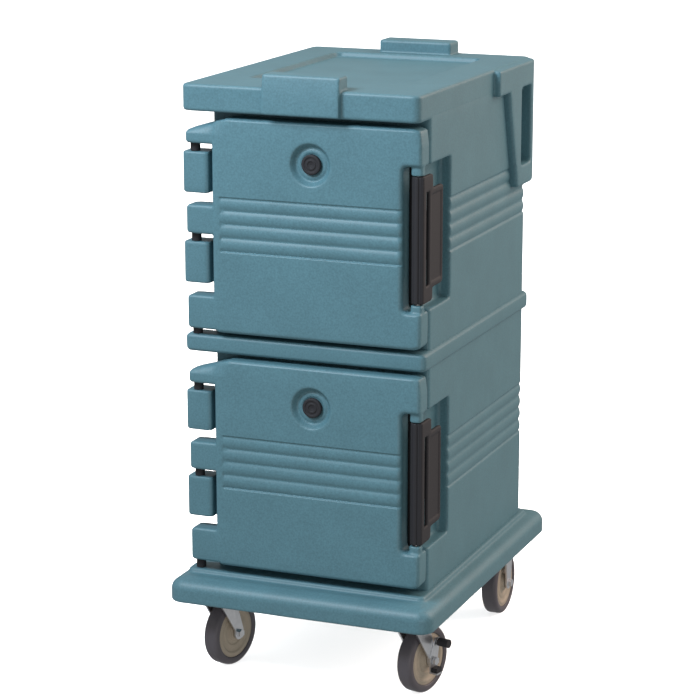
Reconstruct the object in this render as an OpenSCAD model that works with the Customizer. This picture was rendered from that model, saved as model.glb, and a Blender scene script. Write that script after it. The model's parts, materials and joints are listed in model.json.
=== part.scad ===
// Insulated two-compartment food carrier on casters.
// X runs to the right, Y to the rear, Z up. The origin is on the floor, under the centre of the bumper.

/* [Overall] */
// Width over the bumper
overall_w = 521; // [515:1:530]
// Depth over the bumper
overall_d = 689; // [680:1:700]
// Height from the floor to the top of the stacking pads
overall_h = 1143; // [1140:1:1150]

/* [Body] */
// Width of the cabinet between its side walls
body_w = 419; // [415:1:421]
// How far the cabinet is set to the right, to leave room for the hinges
body_shift = 15.5; // [15:0.5:16]
// Front face of the door frames, measured back from the middle
frame_y = -257; // [-258:0.5:-256]
// Rear face of the cabinet
rear_y = 290; // [288:1:292]
// Radius of the rear vertical corners
corner_r = 22; // [18:1:26]
// Thickness of the moulded skin
skin = 6; // [5:0.5:7]

/* [Lid] */
// Width of the lid slab
lid_w = 450; // [450:1:454]
// How far the lid reaches further out on the hinge side
lid_extra = 6; // [0:1:8]
// Front face of the lid slab
lid_front = -314; // [-316:1:-312]
// Rear face of the lid slab
lid_rear = 302; // [300:1:304]
// Underside of the lid slab
lid_bottom = 1069; // [1068:1:1071]
// Top of the lid's rim
rim_top = 1118; // [1115:1:1120]
// Width of the two stacking pads
pad_w = 148; // [130:1:150]
// How far the pads are set to the right of the middle
pad_shift = 4.5; // [0:0.5:6]
// Depth of the recess in the top
recess_depth = 10; // [6:1:12]

/* [Collar and base] */
// Underside of the collar between the compartments
collar_bottom = 622; // [620:1:624]
// Height of the collar
collar_h = 34; // [32:1:35]
// Front face of the collar and of the hinge knuckles
collar_front = -293; // [-294:0.5:-292]
// How far the collar stands out of the side and rear walls
collar_out = 6; // [4:1:7]
// Top of the plinth under the lower door
plinth_top = 205; // [203:1:207]
// Lower edge of the bumper
bumper_bottom = 150; // [149:1:152]
// Plan radius of the bumper's corners
bumper_r = 28; // [24:1:34]

/* [Compartments] */
// Clear width of each compartment
cavity_w = 332; // [328:1:334]
// Clear height of each compartment
cavity_h = 322; // [318:1:324]
// Inner face of the rear wall
cavity_rear = 260; // [256:1:262]
// Number of pan rails on each side wall
rails = 4; // [3:1:5]
// How far a pan rail stands out of the wall
rail_out = 10; // [8:1:11]

/* [Doors] */
// Bottom edge of the lower door
lower_z = 220; // [219:1:221]
// Bottom edge of the upper door
upper_z = 664; // [663:1:665]
// Height of each door
door_h = 394; // [392:1:395]
// Front face of the doors
door_front = -305; // [-306:0.5:-304]
// Back of the door's flange
door_back = -259.5; // [-260:0.5:-259.5]
// Left edge of the door panel
door_left = -177; // [-178:1:-176]
// Height of one rib in the band of ribs
rib_pitch = 24.8; // [24:0.1:25]
// Depth of the grooves between the ribs
rib_depth = 3; // [2:0.25:3.5]
// Depth of the dish around the vent
dish_depth = 12; // [10:0.5:13]

/* [Hinges] */
// Hinge axis, from the middle to the left
hinge_x = -218; // [-219:0.5:-217]
// Hinge axis, front to back
hinge_y = -281; // [-281.5:0.5:-280.5]
// Diameter of the hinge pin's spigots
spigot_d = 12; // [10:0.5:13]
// Diameter of the hinge pin's collar
collar_d = 18; // [16:0.5:20]
// Radial clearance of a running fit
running_fit = 0.06; // [0.03:0.01:0.1]

/* [Latches] */
// Latch pivot, from the middle to the right
latch_x = 213; // [212.5:0.5:213.5]
// Latch pivot, front to back
latch_y = -287; // [-288:0.5:-286]
// Diameter of the latch pin
latch_pin_d = 8; // [6:0.5:8]
// Depth of the latch pocket in the cabinet's side
pocket_depth = 24; // [22:1:26]
// Rear end of the latch pocket
pocket_rear = -149; // [-152:1:-148]

/* [Casters] */
// Wheel diameter
wheel_d = 127; // [120:1:127]
// Tread width
wheel_w = 32; // [28:1:33]
// Distance of the wheels from the middle plane
wheel_x = 195; // [190:1:197]
// Swivel axis of the front casters
swivel_y = -263; // [-266:1:-258]
// Axle of the rear casters
rear_axle_y = 240; // [234:1:244]
// How far the front wheels trail their swivel axis
trail = 38; // [34:1:40]
// How far the front casters are turned
caster_turn = 14; // [0:1:18]
// Mounting height of the casters
caster_h = 157; // [156.5:0.5:157.5]
// Axle bolt diameter
axle_d = 9; // [8:0.5:10]

/* [Hidden] */
$fn = 48;
eps = 0.5;

body_color = "#5f8288";
black_color = "#26262a";
steel_color = "#b9bdc4";

wall_l = body_shift - body_w / 2;
wall_r = body_shift + body_w / 2;
collar_top = collar_bottom + collar_h;
doors_z = [lower_z, upper_z];
// Clear compartment, as heights above the bottom edge of its door
cavity_lift = (door_h - cavity_h) / 2;
cavity_l = body_shift - cavity_w / 2;
cavity_r = body_shift + cavity_w / 2;
// Hinge arms and knuckles, as heights above the bottom edge of the door
arm_spans = [[4, 67], [180, 234], [345, 372]];
knuckle_spans = [[87, 164], [253, 329]];
arm_end = -230;
knuckle_l = -240.5;
knuckle_back = -246;
pin_seat_depth = 24;
fit_gap = 0.3;
// Ribbed band, notch and latch, as heights above the bottom edge of the door
band_bottom = 152;
ribs = 4;
rib_steps = 6;
groove_h = 4;
notch_span = [67, 327];
notch_l = 189;
lug_h = 13;
latch_span = [82, 310];
flap_span = [105, 284];
latch_window = [112, 280];
keeper_span = [150, 236];
keeper_y = -212;
// Vent
vent_lift = 319.5;
vent_r = 40.5;
vent_floor_r = 28.5;
vent_bore_r = 8;
vent_stem_r = 6;
vent_cap_r = 18.5;
// Handles
handle_out = 239;
grip_y = 269;
slot_y = 211;
slot_span = [918, 1068];
tunnel_x = 189;
post_x = 205;
tunnel_rear_x = 172;
// Casters
plate = [66, 92, 4];
bolt_holes = [[-22, -36], [22, -36], [-22, 36], [22, 36]];
bolt_d = 8;
leg_gap = wheel_w / 2 + 3;
leg_t = 4;
axle_z = wheel_d / 2;
race_r = 17;
ball_r = 3;
bush_r = 7;
core_r = 49;
caster_places = [[-wheel_x, swivel_y], [wheel_x, swivel_y], [-wheel_x, rear_axle_y], [wheel_x, rear_axle_y]];

// Points of an arc about [cx, cy]
function arc(cx, cy, r, a0, a1, n = 6) =
    [for (i = [0:n]) [cx + r * cos(a0 + (a1 - a0) * i / n), cy + r * sin(a0 + (a1 - a0) * i / n)]];

// Rectangle with a radius for each corner: front left, front right, rear right, rear left
function rounded(x0, x1, y0, y1, r, n = 6) = concat(
    arc(x0 + r[0], y0 + r[0], r[0], 180, 270, n),
    arc(x1 - r[1], y0 + r[1], r[1], 270, 360, n),
    arc(x1 - r[2], y1 - r[2], r[2], 0, 90, n),
    arc(x0 + r[3], y1 - r[3], r[3], 90, 180, n));

// Outline of the ribbed band: depth against height, each rib a shallow arc between two grooves
function band_profile() =
    let (half = rib_pitch / 2, r = (half * half + rib_depth * rib_depth) / (2 * rib_depth))
    concat([[-5, 0]],
        [for (k = [0:ribs - 1]) for (i = [0:rib_steps])
            if (k == 0 || i > 0)
                let (t = (2 * i / rib_steps - 1) * half)
                [rib_depth - (sqrt(r * r - t * t) - (r - rib_depth)), (k + 0.5) * rib_pitch + t]],
        [[-5, ribs * rib_pitch]]);

module slab(points, z0, z1) {
    translate([0, 0, z0])
        linear_extrude(z1 - z0)
            polygon(points);
}

module block(x0, x1, y0, y1, z0, z1) {
    translate([x0, y0, z0])
        cube([x1 - x0, y1 - y0, z1 - z0]);
}

// A side profile, drawn as Y and Z, carried along X
module along_x(x0, x1) {
    translate([x0, 0, 0])
        rotate([90, 0, 90])
            linear_extrude(x1 - x0)
                children();
}

// A front profile, drawn as X and Z, carried along Y
module along_y(y0, y1) {
    translate([0, y1, 0])
        rotate([90, 0, 0])
            linear_extrude(y1 - y0)
                children();
}

// ---- Cabinet ----

module bumper() {
    hull() {
        for (level = [[0, 6], [6, 0], [30, 0], [42, 10], [47, 30]])
            slab(rounded(level[1] - overall_w / 2, overall_w / 2 - level[1],
                         level[1] - overall_d / 2, overall_d / 2 - level[1],
                         [for (k = [1:4]) bumper_r - level[1]]),
                 bumper_bottom + level[0], bumper_bottom + level[0] + 1);
    }
}

// A belt round the cabinet, with an ear on the left that seats a hinge pin
module belt(out, front, z0, z1) {
    slab(rounded(wall_l - out, wall_r + out, front, rear_y + out, [6, 12, corner_r, corner_r]), z0, z1);
    slab(rounded(knuckle_l, wall_l + 20, front, knuckle_back, [12, 1, 1, 12]), z0, z1);
}

module knuckle(span) {
    slab(rounded(knuckle_l, wall_l + 2, collar_front, knuckle_back, [13, 6, 1, 10]), span[0], span[1]);
}

module front_pad() {
    along_x(pad_shift - pad_w / 2, pad_shift + pad_w / 2)
        polygon([[lid_front - 11, lid_bottom], [lid_front - 11, 1112], [lid_front - 6, overall_h - 4],
                 [lid_front - 2, overall_h], [lid_front + 33, overall_h], [lid_front + 33, lid_bottom]]);
}

module rear_pad() {
    block(pad_shift - pad_w / 2, pad_shift + pad_w / 2, lid_rear - 52, lid_rear - 2, rim_top - 20, overall_h);
}

// Raised handle on one rear top corner, and the tunnel behind its grip
module handle_body() {
    slab(rounded(wall_l + 60, handle_out, 80, lid_rear, [2, 5, 24, 2]), 1066, rim_top - 3);
    intersection() {
        slab(rounded(wall_l + 60, handle_out, 110, lid_rear, [2, 5, 24, 2]), 877, 1067);
        along_x(-handle_out, handle_out + eps)
            polygon([[140, 1068], [194, 877], [lid_rear + 1, 877], [lid_rear + 1, 1068]]);
    }
}

module handle_tunnel() {
    block(tunnel_x, handle_out + 5, slot_y, grip_y, slot_span[0], slot_span[1]);
    block(tunnel_x, post_x, grip_y - eps, lid_rear + 5, slot_span[0], slot_span[1]);
    block(tunnel_rear_x, tunnel_x + eps, cavity_rear + 8, lid_rear + 5, slot_span[0], slot_span[1]);
}

// The left handle is the mirror image of the right one about the middle of the lid
module both_handles() {
    children();
    mirror([1, 0, 0])
        children();
}

module cavity(z) {
    block(cavity_l, cavity_r, frame_y - 1, -235, z, z + cavity_h);
    pitch = cavity_h / rails;
    along_y(-235 - eps, cavity_rear)
        polygon(concat(
            [[cavity_l, z]],
            [[cavity_r, z]],
            [for (k = [0:rails - 1]) for (p = [[0, 26], [rail_out, 34], [rail_out, 46], [0, 54]])
                [cavity_r - p[0], z + k * pitch + p[1]]],
            [[cavity_r, z + cavity_h], [cavity_l, z + cavity_h]],
            [for (k = [rails - 1:-1:0]) for (p = [[0, 54], [rail_out, 46], [rail_out, 34], [0, 26]])
                [cavity_l + p[0], z + k * pitch + p[1]]]));
}

// Grooves between the ribs, round the right, rear and left walls above one door
module wall_band(z) {
    for (k = [0:ribs])
        difference() {
            block(-overall_w, overall_w, pocket_rear, overall_d,
                  z + band_bottom + k * rib_pitch - groove_h / 2,
                  z + band_bottom + k * rib_pitch + groove_h / 2);
            slab(rounded(wall_l + rib_depth, wall_r - rib_depth, frame_y, rear_y - rib_depth,
                         [5, 5, corner_r - rib_depth, corner_r - rib_depth]),
                 z + band_bottom - groove_h, z + band_bottom + ribs * rib_pitch + groove_h);
        }
}

module latch_pocket(z) {
    block(wall_r - pocket_depth, wall_r + 10, frame_y - 1, pocket_rear, z + notch_span[0], z + notch_span[1]);
}

// Foam between the outer skin and the liners, clear of every pocket
module foam_shape() {
    difference() {
        slab(rounded(wall_l + skin + rib_depth, wall_r - skin - rib_depth, frame_y + skin,
                     rear_y - skin - rib_depth, [2, 2, 16, 16]),
             caster_h + 26, rim_top - recess_depth - skin);
        for (z = doors_z) {
            block(cavity_l - skin, cavity_r + skin, frame_y - 1, cavity_rear + skin,
                  z + cavity_lift - skin, z + cavity_lift + cavity_h + skin);
            block(wall_r - pocket_depth - skin, wall_r, frame_y - 1, pocket_rear + skin,
                  z + notch_span[0] - skin, z + notch_span[1] + skin);
        }
        both_handles()
            block(tunnel_rear_x - skin, handle_out, slot_y - skin, lid_rear,
                  slot_span[0] - skin, slot_span[1] + skin);
    }
}

module hinge_bores() {
    for (z = doors_z) {
        for (span = knuckle_spans)
            translate([hinge_x, hinge_y, z + span[0] - 1])
                cylinder(d = spigot_d + 2 * running_fit, h = span[1] - span[0] + 2);
    }
    for (seat = [plinth_top, collar_top])
        translate([hinge_x, hinge_y, seat - pin_seat_depth])
            cylinder(d = spigot_d + 2 * running_fit, h = pin_seat_depth + 1);
}

module at_caster_bolts() {
    for (place = caster_places) for (hole = bolt_holes)
        translate([place[0] + hole[0], place[1] + hole[1], 0])
            children();
}

// Outer walls of the cabinet, with the two ribbed bands
module ribbed_walls() {
    difference() {
        slab(rounded(wall_l, wall_r, frame_y, rear_y, [5, 5, corner_r, corner_r]),
             bumper_bottom, lid_bottom + 1);
        for (z = doors_z)
            wall_band(z);
    }
}

module body_shell() {
    color(body_color)
    difference() {
        union() {
            ribbed_walls();
            slab(rounded(-lid_w / 2 - lid_extra, lid_w / 2, lid_front, lid_rear, [15, 15, 15, 15]),
                 lid_bottom, rim_top);
            front_pad();
            rear_pad();
            belt(collar_out, collar_front, collar_bottom, collar_top);
            belt(collar_out + 2, collar_front - 4, bumper_bottom + 40, plinth_top);
            bumper();
            for (z = doors_z) for (span = knuckle_spans)
                knuckle([z + span[0], z + span[1]]);
            both_handles()
                handle_body();
        }
        slab(rounded(-146, 146, -190, 226, [16, 16, 16, 16]), rim_top - recess_depth, rim_top + 1);
        for (z = doors_z) {
            cavity(z + cavity_lift);
            latch_pocket(z);
        }
        both_handles()
            handle_tunnel();
        hinge_bores();
        foam_shape();
        slab(rounded(18 - overall_w / 2, overall_w / 2 - 18, 18 - overall_d / 2, overall_d / 2 - 18,
                     [20, 20, 20, 20]), bumper_bottom - 1, caster_h);
        at_caster_bolts()
            translate([0, 0, caster_h - 1])
                cylinder(d = 12, h = 23);
        for (z = doors_z)
            keeper_screw_holes(z);
    }
}

module foam_core() {
    color("#e8d9a8")
        foam_shape();
}

module caster_inserts() {
    color("#c9a94f")
        at_caster_bolts()
            translate([0, 0, caster_h])
                difference() {
                    cylinder(d = 12, h = 22);
                    translate([0, 0, -1])
                        cylinder(d = bolt_d, h = 20);
                }
}

module caster_bolts() {
    color(steel_color)
        at_caster_bolts()
            translate([0, 0, caster_h - plate[2]]) {
                translate([0, 0, -5])
                    cylinder(d = 13, h = 5, $fn = 6);
                cylinder(d = bolt_d, h = 19);
            }
}

// ---- Latch keepers ----

// A block on the pocket's floor, with a crest that the latch's hook snaps behind
module keeper(z) {
    floor_x = wall_r - pocket_depth;
    color(black_color)
    difference() {
        slab([[floor_x, keeper_y - 16], [floor_x + 4, keeper_y - 16], [floor_x + 9.5, keeper_y - 4],
              [floor_x + 9.5, keeper_y], [floor_x + 4, keeper_y + 3], [floor_x + 4, keeper_y + 22],
              [floor_x, keeper_y + 22]], z + keeper_span[0], z + keeper_span[1]);
        for (lift = keeper_span)
            translate([floor_x - 1, keeper_y + 12, z + lift + (lift < 200 ? 12 : -12)])
                rotate([0, 90, 0])
                    cylinder(d = 5, h = 10);
    }
}

module keeper_screw_holes(z) {
    for (lift = keeper_span)
        translate([wall_r - pocket_depth - 5, keeper_y + 12, z + lift + (lift < 200 ? 12 : -12)])
            rotate([0, 90, 0])
                cylinder(d = 4.5, h = 7);
}

module upper_keeper() {
    keeper(upper_z);
}

module lower_keeper() {
    keeper(lower_z);
}

module keeper_screws() {
    color(steel_color)
        for (z = doors_z) for (lift = keeper_span)
            translate([wall_r - pocket_depth, keeper_y + 12, z + lift + (lift < 200 ? 12 : -12)])
                rotate([0, 90, 0]) {
                    translate([0, 0, 4])
                        cylinder(d = 9, h = 2.5);
                    translate([0, 0, -4.5])
                        cylinder(d = 4.5, h = 9);
                }
}

// ---- Doors ----

// Outline of the door panel, with its top and bottom left corners cut away towards the hinge arms
function door_outline() = concat(
    [[door_left + 14, 0]],
    arc(wall_r - 16, 16, 16, 270, 360),
    arc(wall_r - 16, door_h - 16, 16, 0, 90),
    [[door_left + 30, door_h], [door_left, door_h - 11], [door_left, 4]]);

module hinge_arm(span) {
    slab(rounded(arm_end, door_left + 20, door_front + 2, door_back - 1, [13, 1, 1, 13]), span[0], span[1]);
}

// The top arm slopes up to the door's top edge
module top_arm() {
    intersection() {
        slab(rounded(arm_end, door_left + 20, door_front + 2, door_back - 1, [13, 1, 1, 13]),
             arm_spans[2][0], door_h);
        along_y(door_front - 1, door_back + 1)
            polygon([[arm_end - 1, 300], [door_left + 30, 300], [door_left + 30, door_h],
                     [arm_end - 1, arm_spans[2][1] - 4]]);
    }
}

module latch_lug(z0, z1) {
    slab(rounded(latch_x - 11, wall_r - 1, latch_y - 11, latch_y + 10, [8, 8, 8, 8]), z0, z1);
}

module vent_dish() {
    translate([body_shift, door_front, vent_lift])
        rotate([90, 0, 0])
            rotate_extrude()
                polygon([[0, 1], [vent_r + 1, 1], [vent_r, 0],
                         [vent_floor_r, -dish_depth], [0, -dish_depth]]);
}

module door_foam_shape() {
    difference() {
        block(door_left + 8, notch_l - 8, door_front + skin, door_front + 24, 12, door_h - 16);
        translate([body_shift, door_front, vent_lift])
            rotate([90, 0, 0])
                cylinder(r = vent_r + 6, h = 60, center = true);
    }
}

module door_shell(z) {
    color(body_color)
    translate([0, 0, z])
    difference() {
        union() {
            difference() {
                along_y(door_front, door_back)
                    polygon(door_outline());
                block(notch_l, wall_r + 1, door_front - 1, door_back + 1, notch_span[0], notch_span[1]);
            }
            hinge_arm(arm_spans[0]);
            hinge_arm(arm_spans[1]);
            top_arm();
            latch_lug(notch_span[0] - 1, notch_span[0] + lug_h);
            latch_lug(notch_span[1] - lug_h - 3, notch_span[1] + 1);
        }
        // Hollow of the door's inner face
        block(cavity_l + 4, cavity_r - 4, door_back - 15.5, door_back + 1,
              cavity_lift + 4, cavity_lift + cavity_h - 4);
        // Ribbed band
        translate([door_left + 16, door_front, band_bottom])
            rotate([90, 0, 90])
                linear_extrude(wall_r - door_left)
                    polygon(band_profile());
        vent_dish();
        translate([body_shift, door_back, vent_lift])
            rotate([90, 0, 0])
                cylinder(r = vent_bore_r, h = 60);
        // Groove that holds the gasket
        gasket_ring(door_back - 2.5, door_back + 1, 0);
        for (span = arm_spans)
            translate([hinge_x, hinge_y, span[0] - 1])
                cylinder(d = spigot_d, h = 21);
        translate([latch_x, latch_y, notch_span[0] - 9])
            cylinder(d = latch_pin_d, h = notch_span[1] - notch_span[0] + 18);
        door_foam_shape();
    }
}

module gasket_ring(y0, y1, slack) {
    difference() {
        block(cavity_l - 13 + slack, cavity_r + 13 - slack, y0, y1,
              cavity_lift - 13 + slack, cavity_lift + cavity_h + 13 - slack);
        block(cavity_l - 3 - slack, cavity_r + 3 + slack, y0 - 1, y1 + 1,
              cavity_lift - 3 - slack, cavity_lift + cavity_h + 3 + slack);
    }
}

module gasket(z) {
    color("#3a3a3d")
        translate([0, 0, z])
            gasket_ring(door_back - 2.5, frame_y - fit_gap, 0);
}

module door_foam(z) {
    color("#e8d9a8")
        translate([0, 0, z])
            door_foam_shape();
}

// Stepped nylon pins: the upper spigot is pressed into the door's arm, the lower one turns in the seat
module hinge_pins(z, seats) {
    color(black_color)
        for (k = [0:2])
            translate([hinge_x, hinge_y, 0]) {
                translate([0, 0, z + arm_spans[k][0]])
                    cylinder(d = spigot_d, h = 20);
                translate([0, 0, seats[k] + fit_gap])
                    cylinder(d = collar_d, h = z + arm_spans[k][0] - seats[k] - fit_gap);
                translate([0, 0, seats[k] - 20])
                    cylinder(d = spigot_d, h = 21);
            }
}

module latch_pin(z) {
    color(steel_color)
        translate([latch_x, latch_y, z + notch_span[0] - 8.7])
            cylinder(d = latch_pin_d, h = notch_span[1] - notch_span[0] + 17.4);
}

// A barrel on the pin, a frame that reaches back along the side, and a finger flap with a hook inside
module latch_handle(z) {
    plate_in = wall_r - 6;
    plate_out = wall_r + 1;
    barrel_r = 11;
    color(black_color)
    translate([0, 0, z])
    difference() {
        union() {
            translate([latch_x, latch_y, latch_span[0]])
                cylinder(r = barrel_r, h = latch_span[1] - latch_span[0]);
            block(latch_x + 2, plate_out, latch_y - 6, latch_y + 8, latch_span[0], latch_span[1]);
            along_x(plate_in, plate_out)
                polygon([[latch_y - 2, latch_span[0]], [-246, latch_span[0]], [-232, flap_span[0]],
                         [-196, flap_span[0] + 2], [-192, flap_span[0] + 6], [-192, flap_span[1] - 6],
                         [-196, flap_span[1] - 2], [-232, flap_span[1]], [-246, latch_span[1]],
                         [latch_y - 2, latch_span[1]]]);
            slab([[plate_in + 1, keeper_y - 2], [plate_in - 7.5, keeper_y + 5],
                  [plate_in - 7.5, keeper_y + 8], [plate_in + 1, keeper_y + 14]],
                 keeper_span[0] + 6, keeper_span[1] - 6);
        }
        block(plate_in - 1, plate_out + 1, -278, -262, latch_window[0], latch_window[1]);
        translate([latch_x, latch_y, latch_span[0] - 1])
            cylinder(d = latch_pin_d + 2 * running_fit, h = latch_span[1] - latch_span[0] + 2);
    }
}

module vent_sleeve(z) {
    color(black_color)
        translate([body_shift, door_front + dish_depth, z + vent_lift])
            rotate([-90, 0, 0])
                difference() {
                    union() {
                        cylinder(r = vent_bore_r, h = 19);
                        translate([0, 0, 18])
                            cylinder(r = 13, h = 2.5);
                    }
                    translate([0, 0, -1])
                        cylinder(r = vent_stem_r + running_fit, h = 30);
                }
}

module vent_cap(z) {
    color(black_color)
        translate([body_shift, door_front + dish_depth, z + vent_lift])
            rotate([90, 0, 0]) {
                translate([0, 0, fit_gap])
                    cylinder(r = vent_cap_r, h = 8);
                translate([0, 0, -24])
                    cylinder(r = vent_stem_r, h = 25);
            }
}

module upper_door_shell() {
    door_shell(upper_z);
}

module upper_door_foam() {
    door_foam(upper_z);
}

module upper_gasket() {
    gasket(upper_z);
}

module upper_hinge_pins() {
    hinge_pins(upper_z, [collar_top, upper_z + knuckle_spans[0][1], upper_z + knuckle_spans[1][1]]);
}

module upper_latch_pin() {
    latch_pin(upper_z);
}

module upper_latch_handle() {
    latch_handle(upper_z);
}

module upper_vent_sleeve() {
    vent_sleeve(upper_z);
}

module upper_vent_cap() {
    vent_cap(upper_z);
}

module lower_door_shell() {
    door_shell(lower_z);
}

module lower_door_foam() {
    door_foam(lower_z);
}

module lower_gasket() {
    gasket(lower_z);
}

module lower_hinge_pins() {
    hinge_pins(lower_z, [plinth_top, lower_z + knuckle_spans[0][1], lower_z + knuckle_spans[1][1]]);
}

module lower_latch_pin() {
    latch_pin(lower_z);
}

module lower_latch_handle() {
    latch_handle(lower_z);
}

module lower_vent_sleeve() {
    vent_sleeve(lower_z);
}

module lower_vent_cap() {
    vent_cap(lower_z);
}

// ---- Casters ----
// Each is drawn under its mounting plate at the origin, the wheel's axle along X

module place_swivel(x) {
    translate([x, swivel_y, 0])
        rotate([0, 0, -caster_turn])
            children();
}

module top_plate() {
    color(steel_color)
    translate([0, 0, caster_h])
    difference() {
        union() {
            slab(rounded(-plate[0] / 2, plate[0] / 2, -plate[1] / 2, plate[1] / 2, [8, 8, 8, 8]),
                 -plate[2], 0);
            translate([0, 0, -9])
                cylinder(r = 23, h = 6);
        }
        for (hole = bolt_holes)
            translate([hole[0], hole[1], -plate[2] - 1])
                cylinder(d = bolt_d, h = plate[2] + 2);
        // Ball groove and king bolt hole
        translate([0, 0, -9])
            rotate_extrude()
                translate([race_r, 0])
                    circle(r = ball_r);
        translate([0, 0, -10])
            cylinder(d = 12, h = 12);
    }
}

module king_bolt() {
    color(steel_color)
        translate([0, 0, caster_h]) {
            translate([0, 0, -20])
                cylinder(d = 12, h = 20);
            translate([0, 0, -25])
                cylinder(d = 20, h = 6, $fn = 6);
        }
}

module ball_race() {
    balls = 12;
    color(steel_color)
        translate([0, 0, caster_h - 9])
            for (k = [0:balls - 1])
                rotate([0, 0, k * 360 / balls])
                    translate([race_r, 0, 0])
                        sphere(r = ball_r - 0.02);
}

// One side plate of a fork, wide at the crown and narrow at the axle
module fork_leg(x, top, back) {
    along_x(x, x + leg_t)
        difference() {
            union() {
                polygon([[-24, top], [24, top], [back + 12, axle_z + 6], [back + 12, axle_z],
                         [back - 12, axle_z], [back - 12.5, axle_z + 8]]);
                translate([back, axle_z])
                    circle(r = 12.5);
            }
            translate([back, axle_z])
                circle(d = axle_d);
        }
}

module swivel_fork() {
    crown = caster_h - 10.5;
    color(steel_color)
    difference() {
        union() {
            translate([0, 0, crown - 6])
                cylinder(r = 25, h = 6);
            fork_leg(leg_gap, crown - 2, trail);
            fork_leg(-leg_gap - leg_t, crown - 2, trail);
        }
        translate([0, 0, crown + 1.5])
            rotate_extrude()
                translate([race_r, 0])
                    circle(r = ball_r);
        translate([0, 0, crown - 10])
            cylinder(d = 12 + 2 * running_fit, h = 20);
    }
}

module rigid_frame() {
    color(steel_color)
    difference() {
        union() {
            slab(rounded(-plate[0] / 2, plate[0] / 2, -plate[1] / 2, plate[1] / 2, [8, 8, 8, 8]),
                 caster_h - plate[2], caster_h);
            fork_leg(leg_gap, caster_h - 2, 0);
            fork_leg(-leg_gap - leg_t, caster_h - 2, 0);
        }
        for (hole = bolt_holes)
            translate([hole[0], hole[1], caster_h - plate[2] - 1])
                cylinder(d = bolt_d, h = plate[2] + 2);
    }
}

// Bolt across the fork, its hexagon head outboard at x = side * grip
module axle(back, grip) {
    color(steel_color)
        translate([0, back, axle_z])
            rotate([0, 90, 0]) {
                translate([0, 0, -leg_gap - leg_t - 8])
                    cylinder(d = axle_d, h = leg_gap + leg_t + 8 + grip);
                translate([0, 0, grip])
                    cylinder(d = 16, h = 6, $fn = 6);
                translate([0, 0, -leg_gap - leg_t - 7])
                    cylinder(d = 16, h = 7, $fn = 6);
            }
}

module bush(back) {
    color("#8f8f8f")
        translate([0, back, axle_z])
            rotate([0, 90, 0])
                difference() {
                    cylinder(r = bush_r, h = 2 * leg_gap, center = true);
                    cylinder(d = axle_d, h = 2 * leg_gap + 2, center = true);
                }
}

// Stepped nylon wheel centre, turned about its axle
module wheel(back) {
    half = wheel_w / 2;
    color("#9a8c7e")
        translate([0, back, axle_z])
            rotate([0, 90, 0])
                rotate_extrude()
                    polygon([[bush_r + running_fit, -half], [17, -half], [18, 5 - half], [27, 6 - half],
                             [29, 4 - half], [38, 5 - half], [41, 2 - half], [core_r, 2 - half],
                             [core_r, half - 2], [41, half - 2], [38, half - 5], [29, half - 4],
                             [27, half - 6], [18, half - 5], [17, half], [bush_r + running_fit, half]]);
}

module tyre(back) {
    half = wheel_w / 2;
    r = wheel_d / 2;
    color("#3b393c")
        translate([0, back, axle_z])
            rotate([0, 90, 0])
                rotate_extrude()
                    polygon(concat([[core_r, -half + 1]], arc(r - 7, 7 - half, 7, 270, 360, 4),
                                   arc(r - 7, half - 7, 7, 0, 90, 4), [[core_r, half - 1]]));
}

// Steel rocker on the axle, outboard of the fork's right leg
module brake_lever() {
    inner = leg_gap + leg_t + fit_gap;
    color(steel_color)
    difference() {
        union() {
            along_x(inner, inner + 3)
                polygon([[trail - 11, axle_z - 22], [trail + 11, axle_z - 22], [trail + 12, axle_z],
                         [trail + 20, axle_z + 40], [trail + 6, axle_z + 42], [trail - 12, axle_z + 4]]);
            translate([inner, trail + 12, axle_z + 34])
                rotate([0, 90, 0])
                    cylinder(d = 7, h = 24);
            block(inner, inner + 16, trail - 9, trail + 9, axle_z - 24, axle_z - 21);
        }
        translate([inner - 2, trail, axle_z])
            rotate([0, 90, 0])
                cylinder(d = axle_d + 2 * running_fit, h = 8);
    }
}

module brake_pads() {
    inner = leg_gap + leg_t + fit_gap;
    color(black_color) {
        translate([inner + 6, trail + 12, axle_z + 34])
            rotate([0, 90, 0])
                difference() {
                    cylinder(d = 16, h = 22);
                    translate([0, 0, -1])
                        cylinder(d = 7, h = 19);
                }
        block(inner + 3.2, inner + 15, trail - 8, trail + 8, axle_z - 21, axle_z - 12);
    }
}

module fl_top_plate() {
    translate([-wheel_x, swivel_y, 0])
        top_plate();
}

module fl_king_bolt() {
    place_swivel(-wheel_x)
        king_bolt();
}

module fl_ball_race() {
    place_swivel(-wheel_x)
        ball_race();
}

module fl_fork() {
    place_swivel(-wheel_x)
        swivel_fork();
}

module fl_axle() {
    place_swivel(-wheel_x)
        axle(trail, leg_gap + leg_t);
}

module fl_bush() {
    place_swivel(-wheel_x)
        bush(trail);
}

module fl_wheel() {
    place_swivel(-wheel_x)
        wheel(trail);
}

module fl_tyre() {
    place_swivel(-wheel_x)
        tyre(trail);
}

module fr_top_plate() {
    translate([wheel_x, swivel_y, 0])
        top_plate();
}

module fr_king_bolt() {
    place_swivel(wheel_x)
        king_bolt();
}

module fr_ball_race() {
    place_swivel(wheel_x)
        ball_race();
}

module fr_fork() {
    place_swivel(wheel_x)
        swivel_fork();
}

module fr_axle() {
    place_swivel(wheel_x)
        axle(trail, leg_gap + leg_t + 4);
}

module fr_bush() {
    place_swivel(wheel_x)
        bush(trail);
}

module fr_wheel() {
    place_swivel(wheel_x)
        wheel(trail);
}

module fr_tyre() {
    place_swivel(wheel_x)
        tyre(trail);
}

module fr_brake_lever() {
    place_swivel(wheel_x)
        brake_lever();
}

module fr_brake_pads() {
    place_swivel(wheel_x)
        brake_pads();
}

module rl_frame() {
    translate([-wheel_x, rear_axle_y, 0])
        rigid_frame();
}

module rl_axle() {
    translate([-wheel_x, rear_axle_y, 0])
        axle(0, leg_gap + leg_t);
}

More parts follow.
